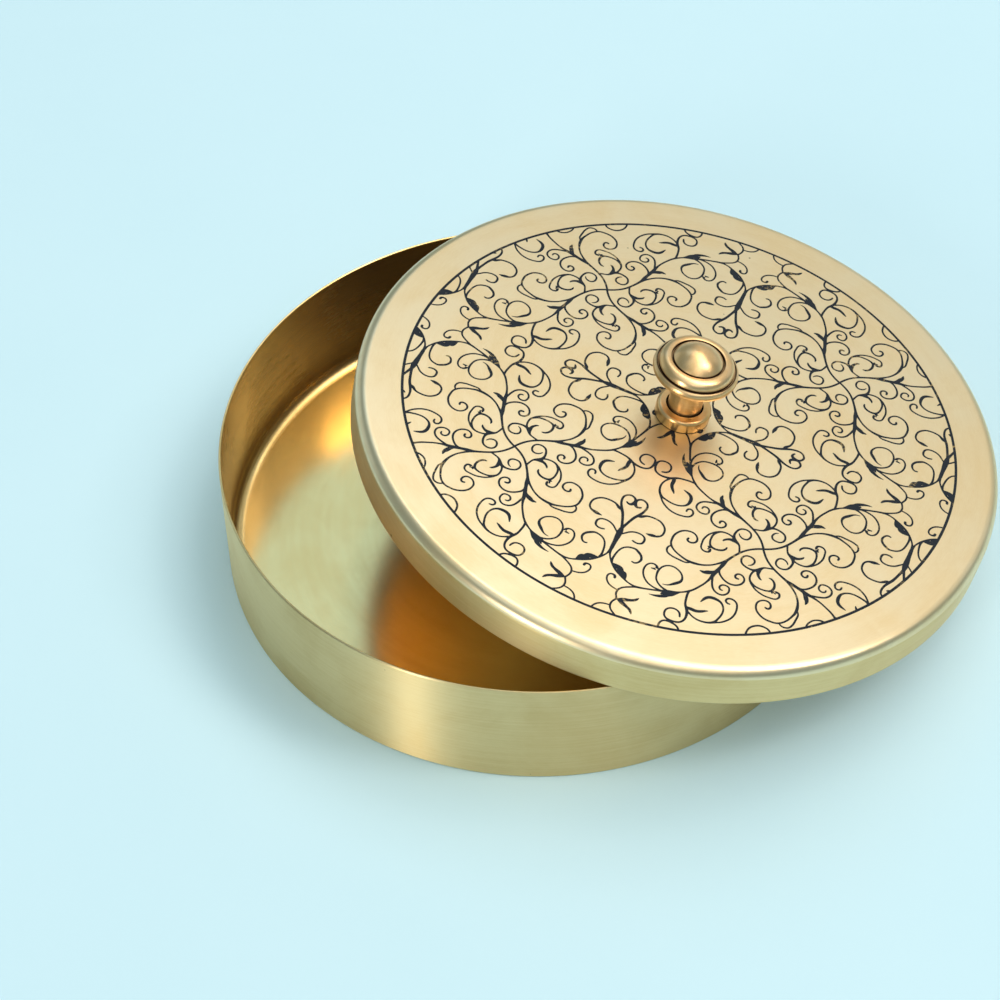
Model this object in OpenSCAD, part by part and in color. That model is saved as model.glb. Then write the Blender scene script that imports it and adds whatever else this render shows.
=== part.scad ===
// Paan box: a low round brass box with an overhanging lid left askew on the rim.
// Units are millimetres, +Z is up, the floor is z = 0 and the box stands on the
// origin. The lid is pushed off towards +X and rests on the rim as it would by
// its own weight: the underside of its plate on the near edge of the rim, the
// lower edge of its skirt on the rim at two places.

/* [Box] */
// Outside diameter of the box
body_d = 200; // [160:1:260]
// Height of the box from its flat base to the top of the rim
body_h = 41.6; // [32:0.2:70]
// Thickness of the sheet in the wall
wall_t = 0.9; // [0.6:0.1:2]
// Thickness of the sheet in the floor of the box
floor_t = 1.1; // [0.8:0.1:2.5]
// Radius of the hollow corner where the wall runs into the floor
cove_r = 4.2; // [2:0.1:8]
// Radius of the outside edge at the base
base_edge_r = 0.8; // [0.3:0.1:2]

/* [Lid] */
// Play between the wall of the box and the skirt of the lid, on each side
lid_play = 1.4; // [0.4:0.1:3]
// Thickness of the sheet in the plate of the lid
plate_t = 1.0; // [0.7:0.1:2]
// Thickness of the sheet in the skirt of the lid
skirt_t = 1.0; // [0.7:0.1:2]
// Depth of the lid from its top face to the lower edge of the skirt
lid_h = 14; // [10:0.5:24]
// Radius of the turned edge between the plate and the skirt, outside
lid_edge_r = 3.4; // [2.2:0.1:6]

/* [Ring line] */
// Radius of the black line that frames the scrollwork
ring_r = 88; // [60:0.5:94]
// Width of that line
ring_w = 0.9; // [0.5:0.1:2]
// Depth of the groove the black fill lies in
ring_deep = 0.35; // [0.2:0.05:0.6]
// Height by which the black fill stays below the face of the lid
fill_low = 0.04; // [0.02:0.01:0.1]

/* [Askew lid] */
// How far the lid is pushed off the centre of the box
lid_shift = 45.3; // [36:0.1:60]
// Air left between the lid and the rim it rests on
rest_gap = 0.3; // [0.1:0.05:0.6]

/* [Collar] */
// Radius of the collar under the knob
collar_r = 8.7; // [7.5:0.1:12]
// Height of the straight side of the collar
collar_side_h = 3.2; // [2:0.1:5]
// Radius of the collar's rounded shoulder
collar_edge_r = 1.2; // [0.5:0.1:1.9]
// Depth of the seat the neck of the knob stands in
seat_deep = 1.6; // [0.8:0.1:2.4]
// Open groove left round the foot of the neck
seat_gap = 0.6; // [0.3:0.1:1]

/* [Knob] */
// Radius of the neck
neck_r = 5.4; // [4.5:0.1:7]
// Height above the lid where the neck starts to spread into the head
neck_top_z = 13.2; // [10:0.1:18]
// Radius of the hollow under the head
under_r = 5.0; // [3.5:0.1:6]
// Radius at the widest place of the head
head_r = 13.4; // [12:0.1:18]
// Height of the widest place of the head above the lid
head_z = 19.8; // [17:0.1:25]
// Radius of the lip round the head
lip_r = 1.75; // [1.2:0.05:2.2]
// Radius of the bead inside the lip
bead_r = 2.7; // [2:0.05:3.2]
// Width of the groove between the lip and the bead
lip_groove_w = 0.4; // [0.2:0.05:0.6]
// Depth of that groove
lip_groove_deep = 0.6; // [0.3:0.05:1]
// Radius of the groove round the dome
dome_groove_r = 8.1; // [6.5:0.1:9]
// Width of the groove round the dome
dome_groove_w = 0.5; // [0.3:0.05:0.8]
// Depth of the groove round the dome
dome_groove_deep = 0.9; // [0.5:0.05:1.5]
// Height of the top of the dome above the lid
dome_top_z = 27.6; // [26:0.1:32]

/* [Screw and washer] */
// Radius of the screw that holds the knob from below
screw_r = 2.0; // [1.5:0.1:2.5]
// Length of the screw inside the knob
screw_grip = 7.5; // [5:0.5:9]
// Radius of the screw's head
screw_head_r = 4.0; // [3.2:0.1:5]
// Height of the screw's head
screw_head_h = 2.4; // [1.8:0.1:3.5]
// Width of the slot in the screw's head
slot_w = 1.0; // [0.6:0.1:1.4]
// Depth of the slot in the screw's head
slot_deep = 1.1; // [0.6:0.1:1.5]
// Radius of the washer
washer_r = 6.0; // [5:0.1:9]
// Thickness of the washer
washer_t = 1.0; // [0.6:0.1:1.6]
// Air round the screw in the lid, the collar and the washer
hole_play = 0.2; // [0.1:0.05:0.5]
// Air round the screw in the bore of the knob
bore_play = 0.05; // [0.02:0.01:0.2]

/* [Hidden] */
$fn = 96;
skin = 1;                       // overshoot of a cut beyond the face it opens
body_r = body_d / 2;
inner_r = body_r - wall_t;
skirt_in_r = body_r + lid_play;
lid_r = skirt_in_r + skirt_t;
lid_edge_in_r = lid_edge_r - skirt_t;
hole_r = screw_r + hole_play;
bore_r = screw_r + bore_play;
collar_h = collar_side_h + collar_edge_r;
seat_r = neck_r + seat_gap;
seat_z = collar_h - seat_deep;
bore_top_z = seat_z + screw_grip + skin;
lip_c = head_r - lip_r;         // where the round of the lip is centred
bead_c = lip_c - bead_r + 0.25; // where the round of the bead is centred
bead_z = head_z + lip_r - 0.15;
lip_groove_in_r = bead_c + bead_r - 0.05;
dome_r = dome_groove_r - dome_groove_w / 2;
dome_base_z = bead_z + bead_r * 0.9;
dome_rise = dome_top_z - dome_base_z;
dome_ball_r = (dome_r * dome_r + dome_rise * dome_rise) / (2 * dome_rise);

// The tilt at which the plate lies on the rim at +X while the inner lower edge
// of the skirt crosses the rim's outer circle at its own height. Each turn
// takes the tilt before, finds both places and returns the tilt they ask for.
function plate_reach(t) = (body_r - lid_shift + plate_t * sin(t)) / cos(t);
function skirt_shift(t) = lid_shift - lid_h * sin(t);
function quad_a(t) = cos(t) * cos(t) - 1;
function quad_b(t) = 2 * skirt_shift(t) * cos(t);
function quad_c(t) = pow(skirt_shift(t), 2) + pow(skirt_in_r, 2) - pow(body_r, 2);
function skirt_reach(t) = (-quad_b(t) + sqrt(pow(quad_b(t), 2) - 4 * quad_a(t) * quad_c(t)))
    / (2 * quad_a(t));
function next_tilt(t) = atan((lid_h - plate_t) / (plate_reach(t) - skirt_reach(t)));
function settle(t, turns) = turns == 0 ? t : settle(next_tilt(t), turns - 1);

lid_tilt = settle(8, 30);
lid_z = body_h + plate_t * cos(lid_tilt) + plate_reach(lid_tilt) * sin(lid_tilt) + rest_gap;

brass = [0.80, 0.66, 0.36];
copper_gold = [0.78, 0.55, 0.28];
black = [0.05, 0.05, 0.05];
steel = [0.62, 0.60, 0.55];

// Everything on the lid is drawn level, top face at z = 0, then laid askew.
module on_lid() {
    translate([lid_shift, 0, lid_z]) rotate([0, lid_tilt, 0]) children();
}

// Half section of a cup that opens upwards, with a rounded outside edge.
module box_section() {
    difference() {
        union() {
            translate([0, base_edge_r]) square([body_r, body_h - base_edge_r - wall_t / 2]);
            square([body_r - base_edge_r, body_h - wall_t / 2]);
            translate([body_r - base_edge_r, base_edge_r]) circle(base_edge_r);
        }
        translate([0, floor_t + cove_r]) square([inner_r, body_h]);
        translate([0, floor_t]) square([inner_r - cove_r, body_h]);
        translate([inner_r - cove_r, floor_t + cove_r]) circle(cove_r);
    }
    translate([body_r - wall_t / 2, body_h - wall_t / 2]) circle(wall_t / 2);
}

module box_body() {
    color(brass) rotate_extrude() box_section();
}

// Half section of the lid: plate, turned edge, skirt with a rounded lower edge.
module lid_section() {
    difference() {
        union() {
            translate([hole_r, -lid_h + skirt_t / 2])
                square([lid_r - lid_edge_r - hole_r, lid_h - skirt_t / 2]);
            translate([hole_r, -lid_h + skirt_t / 2])
                square([lid_r - hole_r, lid_h - skirt_t / 2 - lid_edge_r]);
            translate([lid_r - lid_edge_r, -lid_edge_r]) circle(lid_edge_r);
        }
        translate([0, -lid_h - skin])
            square([skirt_in_r - lid_edge_in_r, lid_h + skin - plate_t]);
        translate([0, -lid_h - skin])
            square([skirt_in_r, lid_h + skin - plate_t - lid_edge_in_r]);
        translate([skirt_in_r - lid_edge_in_r, -plate_t - lid_edge_in_r]) circle(lid_edge_in_r);
        translate([ring_r - ring_w / 2, -ring_deep]) square([ring_w, ring_deep + skin]);
    }
    translate([lid_r - skirt_t / 2, -lid_h + skirt_t / 2]) circle(skirt_t / 2);
}

module lid_shell() {
    color(brass) on_lid() rotate_extrude() lid_section();
}

module ring_fill() {
    color(black) on_lid() rotate_extrude()
        translate([ring_r - ring_w / 2, -ring_deep]) square([ring_w, ring_deep - fill_low]);
}

// The collar is a turned ring with a round seat for the foot of the neck.
module collar_section() {
    difference() {
        union() {
            translate([hole_r, 0]) square([collar_r - hole_r, collar_side_h]);
            translate([hole_r, 0]) square([collar_r - collar_edge_r - hole_r, collar_h]);
            translate([collar_r - collar_edge_r, collar_side_h]) circle(collar_edge_r);
        }
        translate([0, seat_z]) square([seat_r, seat_deep + skin]);
    }
}

module knob_collar() {
    color(copper_gold) on_lid() rotate_extrude() collar_section();
}

// Neck with the hollow under the head; the head is a lip, a bead and a dome.
module knob_section() {
    difference() {
        union() {
            translate([0, seat_z]) square([neck_r, head_z - seat_z]);
            difference() {
                translate([0, neck_top_z]) square([neck_r + under_r, head_z - neck_top_z]);
                translate([neck_r + under_r, neck_top_z]) circle(under_r);
            }
            translate([0, neck_top_z + under_r]) square([lip_c, head_z - neck_top_z - under_r]);
            translate([lip_c, head_z]) circle(lip_r);
            square_between(head_z - skin / 2, bead_z, lip_c);
            translate([bead_c, bead_z]) circle(bead_r);
            square_between(bead_z - skin / 2, dome_base_z, bead_c);
            intersection() {
                translate([0, dome_top_z - dome_ball_r]) circle(dome_ball_r);
                square_between(dome_base_z - skin, dome_top_z + skin, dome_r);
            }
        }
        translate([lip_groove_in_r, bead_z - lip_groove_deep]) square([lip_groove_w, lip_r]);
        translate([dome_r, dome_base_z - dome_groove_deep]) square([dome_groove_w, bead_r]);
        square_between(seat_z - skin, bore_top_z, bore_r);
    }
}

// A block of the half section from the axis out to r, between two heights.
module square_between(z_low, z_high, r) {
    translate([0, z_low]) square([r, z_high - z_low]);
}

module knob() {
    color(copper_gold) on_lid() rotate_extrude() knob_section();
}

module knob_washer() {
    color(brass) on_lid() translate([0, 0, -plate_t - washer_t]) difference() {
        cylinder(r = washer_r, h = washer_t);
        translate([0, 0, -skin]) cylinder(r = hole_r, h = washer_t + 2 * skin);
    }
}

// Slotted screw from below, through washer, plate and collar into the knob.
module knob_screw() {
    head_top_z = -plate_t - washer_t;
    color(steel) on_lid() difference() {
        union() {
            translate([0, 0, head_top_z - screw_head_h]) cylinder(r = screw_head_r, h = screw_head_h);
            translate([0, 0, head_top_z - skin])
                cylinder(r = screw_r, h = seat_z + screw_grip - head_top_z + skin);
        }
        translate([-screw_head_r - skin, -slot_w / 2, head_top_z - screw_head_h - skin])
            cube([2 * (screw_head_r + skin), slot_w, slot_deep + skin]);
    }
}

box_body();
lid_shell();
ring_fill();
knob_collar();
knob();
knob_washer();
knob_screw();
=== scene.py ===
# %% [markdown]
# # A brass paan box with its lid laid askew
#
# The real object is a low round box for betel leaves: a spun brass cup, an
# overhanging brass lid with engraved scrollwork filled with black, and a turned
# knob on a collar. The solid model of it is loaded first and stays fixed. This
# notebook dresses it: finer surfaces, the engraving, the brushed and the burnished
# brass, the floor and the light.

# %% The fixed model
import math

import bpy
import numpy as np
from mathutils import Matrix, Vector
from mathutils.geometry import delaunay_2d_cdt


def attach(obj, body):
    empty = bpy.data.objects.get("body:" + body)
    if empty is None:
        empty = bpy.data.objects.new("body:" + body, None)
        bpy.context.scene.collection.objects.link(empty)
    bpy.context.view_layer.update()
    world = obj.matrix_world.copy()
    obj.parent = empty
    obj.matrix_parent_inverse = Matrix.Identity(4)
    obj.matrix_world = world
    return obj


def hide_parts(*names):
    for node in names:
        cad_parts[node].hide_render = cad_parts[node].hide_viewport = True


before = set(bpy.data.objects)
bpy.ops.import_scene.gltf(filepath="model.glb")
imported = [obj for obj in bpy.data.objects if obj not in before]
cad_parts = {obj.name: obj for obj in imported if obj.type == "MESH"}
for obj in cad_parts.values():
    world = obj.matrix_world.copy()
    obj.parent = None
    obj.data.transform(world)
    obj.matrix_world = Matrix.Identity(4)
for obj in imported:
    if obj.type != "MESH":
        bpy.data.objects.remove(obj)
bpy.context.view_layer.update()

MM = 0.001
print("nodes:", sorted(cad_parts))

# %% [markdown]
# The lid leans on the rim, so everything on it is drawn level, with the top face
# at height 0 and the axis at the origin, and then laid askew. Where the lid lies
# is measured on the model: the largest flat facet of its shell lies in the plate,
# so its normal is the axis of the lid, and the shell reaches as far down the slope
# from that axis as it reaches up.

# %% Measuring where the box and the lid are
def node_points(node):
    """All corner points of a node, as an (n, 3) array in millimetres."""
    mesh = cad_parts[node].data
    points = np.empty(len(mesh.vertices) * 3)
    mesh.vertices.foreach_get("co", points)
    return points.reshape(-1, 3) / MM


def sheet_normal(node):
    """Upward normal of the largest flat facet of a node, as a unit vector."""
    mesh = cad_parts[node].data
    largest = max(mesh.polygons, key=lambda facet: facet.area)
    normal = np.array(largest.normal)
    return normal * np.sign(normal[2])


lid_points = node_points("lid_shell")
lid_axis = sheet_normal("lid_shell")
LID_TILT = math.atan2(lid_axis[0], lid_axis[2])
down_slope = np.array([math.cos(LID_TILT), 0, -math.sin(LID_TILT)])
along_slope = lid_points @ down_slope
LID_PLACE = (lid_axis * (lid_points @ lid_axis).max()
             + down_slope * (along_slope.max() + along_slope.min()) / 2)


def askew(points):
    """Turns level points by the lid's tilt about Y, then moves them to the lid's place."""
    x, y, z = np.asarray(points, float).T
    turned = np.stack([x * math.cos(LID_TILT) + z * math.sin(LID_TILT), y,
                       z * math.cos(LID_TILT) - x * math.sin(LID_TILT)], 1)
    return turned + LID_PLACE


def level(points):
    """The opposite of askew: brings points of the leaning lid to the level position."""
    x, y, z = (np.asarray(points, float) - LID_PLACE).T
    return np.stack([x * math.cos(LID_TILT) - z * math.sin(LID_TILT), y,
                     z * math.cos(LID_TILT) + x * math.sin(LID_TILT)], 1)


def reach_of(points):
    """Largest distance from the upright axis, and largest height."""
    return float(np.hypot(points[:, 0], points[:, 1]).max()), float(points[:, 2].max())


BOX_R, BOX_H = reach_of(node_points("box_body"))
LID_R, _ = reach_of(level(lid_points))
LID_H = float(-level(lid_points)[:, 2].min())
RING_OUT_R, _ = reach_of(level(node_points("ring_fill")))
HEAD_R, KNOB_TOP = reach_of(level(node_points("knob")))
COLLAR_R, COLLAR_H = reach_of(level(node_points("knob_collar")))
print(f"box {2 * BOX_R:.1f} across, {BOX_H:.1f} high; lid {2 * LID_R:.1f} across, {LID_H:.1f} deep")
print(f"lid tilted {math.degrees(LID_TILT):.2f} degrees at {LID_PLACE.round(2)}")
print(f"knob {2 * HEAD_R:.1f} across, {KNOB_TOP:.1f} high on a collar {2 * COLLAR_R:.1f} across")

# %% [markdown]
# A spun or turned piece is a profile carried round an axis. A profile is drawn in
# the half plane as one outline, which closes on itself or starts and ends on the
# axis: arcs where the metal is rounded, and single points where it is straight. Each
# straight run keeps a point close to both of its ends, so that smooth shading bends
# only in the rounds and the flats stay flat.

# %% Profiles and the lathe
HOLD = 0.35                               # distance of the holding points from a round's end
TURNS = 384                               # spokes of the wheel for the box and the lid
SMALL_TURNS, SMALLEST_TURNS = 192, 128    # for knob and collar, for washer and screw


def arc(centre_r, centre_z, radius, start, end, steps):
    """Points on a circle round (centre_r, centre_z), from angle start to end in degrees."""
    angles = np.radians(np.linspace(start, end, steps + 1))
    return np.stack([centre_r + radius * np.cos(angles), centre_z + radius * np.sin(angles)], 1)


def join(*runs, closed=False):
    """One outline from arcs and points, with holding points on every long straight. A
    closed one is for a ring."""
    outline = np.concatenate([np.atleast_2d(run) for run in runs])
    if closed:
        outline = np.concatenate([outline, outline[:1]])
    points = []
    for here, there in zip(outline[:-1], outline[1:]):
        step = there - here
        length = np.hypot(*step)
        points.append(here)
        if length > 4 * HOLD:
            points += [here + step * HOLD / length, there - step * HOLD / length]
    return np.array(points if closed else points + [outline[-1]])


def turned(profile, turns, closed=False):
    """The profile on every spoke of a wheel: x = r cos t, y = r sin t. Returns points
    and the quads between neighbouring spokes, all the way round."""
    angles = np.linspace(0, 2 * math.pi, turns, endpoint=False)
    r, z = profile.T
    points = np.stack([np.outer(np.cos(angles), r), np.outer(np.sin(angles), r),
                       np.broadcast_to(z, (turns, len(z)))], -1).reshape(-1, 3)
    grid = np.arange(turns * len(profile)).reshape(turns, len(profile))
    beside = np.roll(grid, -1, axis=0)
    quads = np.stack([grid, beside, np.roll(beside, -1, axis=1), np.roll(grid, -1, axis=1)], -1)
    if not closed:
        quads = quads[:, :-1]
    return points, quads.reshape(-1, 4)


# %% Merging and measuring a mesh
DECIMALS = 5                              # points that agree to these, in millimetres, are one


def merged(points, *face_sets):
    """Makes one point of those at the same place, and drops the corners that repeat."""
    _, keep, places = np.unique(points.round(DECIMALS), axis=0, return_index=True,
                                return_inverse=True)
    faces = []
    for face_set in face_sets:
        corners = places.ravel()[face_set]
        repeats = corners == np.roll(corners, 1, axis=1)
        faces += corners[~repeats.any(1)].tolist()
        faces += [list(dict.fromkeys(face)) for face in corners[repeats.sum(1) == 1].tolist()]
    return points[keep], faces


def signed_volume(mesh):
    """Volume within a mesh by the divergence theorem: positive when it faces outwards."""
    mesh.calc_loop_triangles()
    corners = np.empty(len(mesh.loop_triangles) * 3, int)
    mesh.loop_triangles.foreach_get("vertices", corners)
    points = np.empty(len(mesh.vertices) * 3)
    mesh.vertices.foreach_get("co", points)
    a, b, c = points.reshape(-1, 3)[corners.reshape(-1, 3)].transpose(1, 0, 2)
    return np.einsum("ij,ij->i", a, np.cross(b, c)).sum() / 6


def open_edges(mesh):
    """Number of edges that don't lie between exactly two faces: none on a closed mesh."""
    edges = np.empty(len(mesh.loops), int)
    mesh.loops.foreach_get("edge_index", edges)
    return int((np.bincount(edges, minlength=len(mesh.edges)) != 2).sum())


# %% Making a piece
SHARP_FROM = math.radians(38)             # an edge that bends more is shaded as a crease


def piece(name, points, faces, body, replaced):
    """A mesh object from millimetre points, facing outwards, riding its body."""
    mesh = bpy.data.meshes.new(name)
    mesh.from_pydata((points * MM).tolist(), [], faces)
    if signed_volume(mesh) < 0:
        mesh.flip_normals()
    mesh.polygons.foreach_set("use_smooth", np.ones(len(mesh.polygons), bool))
    mesh.set_sharp_from_angle(angle=SHARP_FROM)
    made = bpy.data.objects.new(name, mesh)
    bpy.context.scene.collection.objects.link(made)
    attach(made, body)
    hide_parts(replaced)
    print(f"{name}: {len(mesh.polygons)} faces, {open_edges(mesh)} open edges, "
          f"{signed_volume(mesh) * 1e6:.2f} cm3")
    return made


def spun(name, profile, turns, body, replaced, closed=False):
    """A piece that is a profile carried round the axis. On the lid it lies askew."""
    points, faces = merged(*turned(profile, turns, closed))
    if body == "lid":
        points = askew(points)
    return piece(name, points, faces, body, replaced)

# %% [markdown]
# ## The scrollwork
#
# The lid is covered with one motif, repeated as on a printed cloth: it turns by
# quarters round a crossing, and the next crossing holds its mirror image. So one
# eighth of the pattern is enough. Its strokes are written here as a draughtsman
# would trace them, each a few points with the width of the cut at each point, in
# millimetres from the crossing, with x pointing to the middle of the lid.

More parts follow.
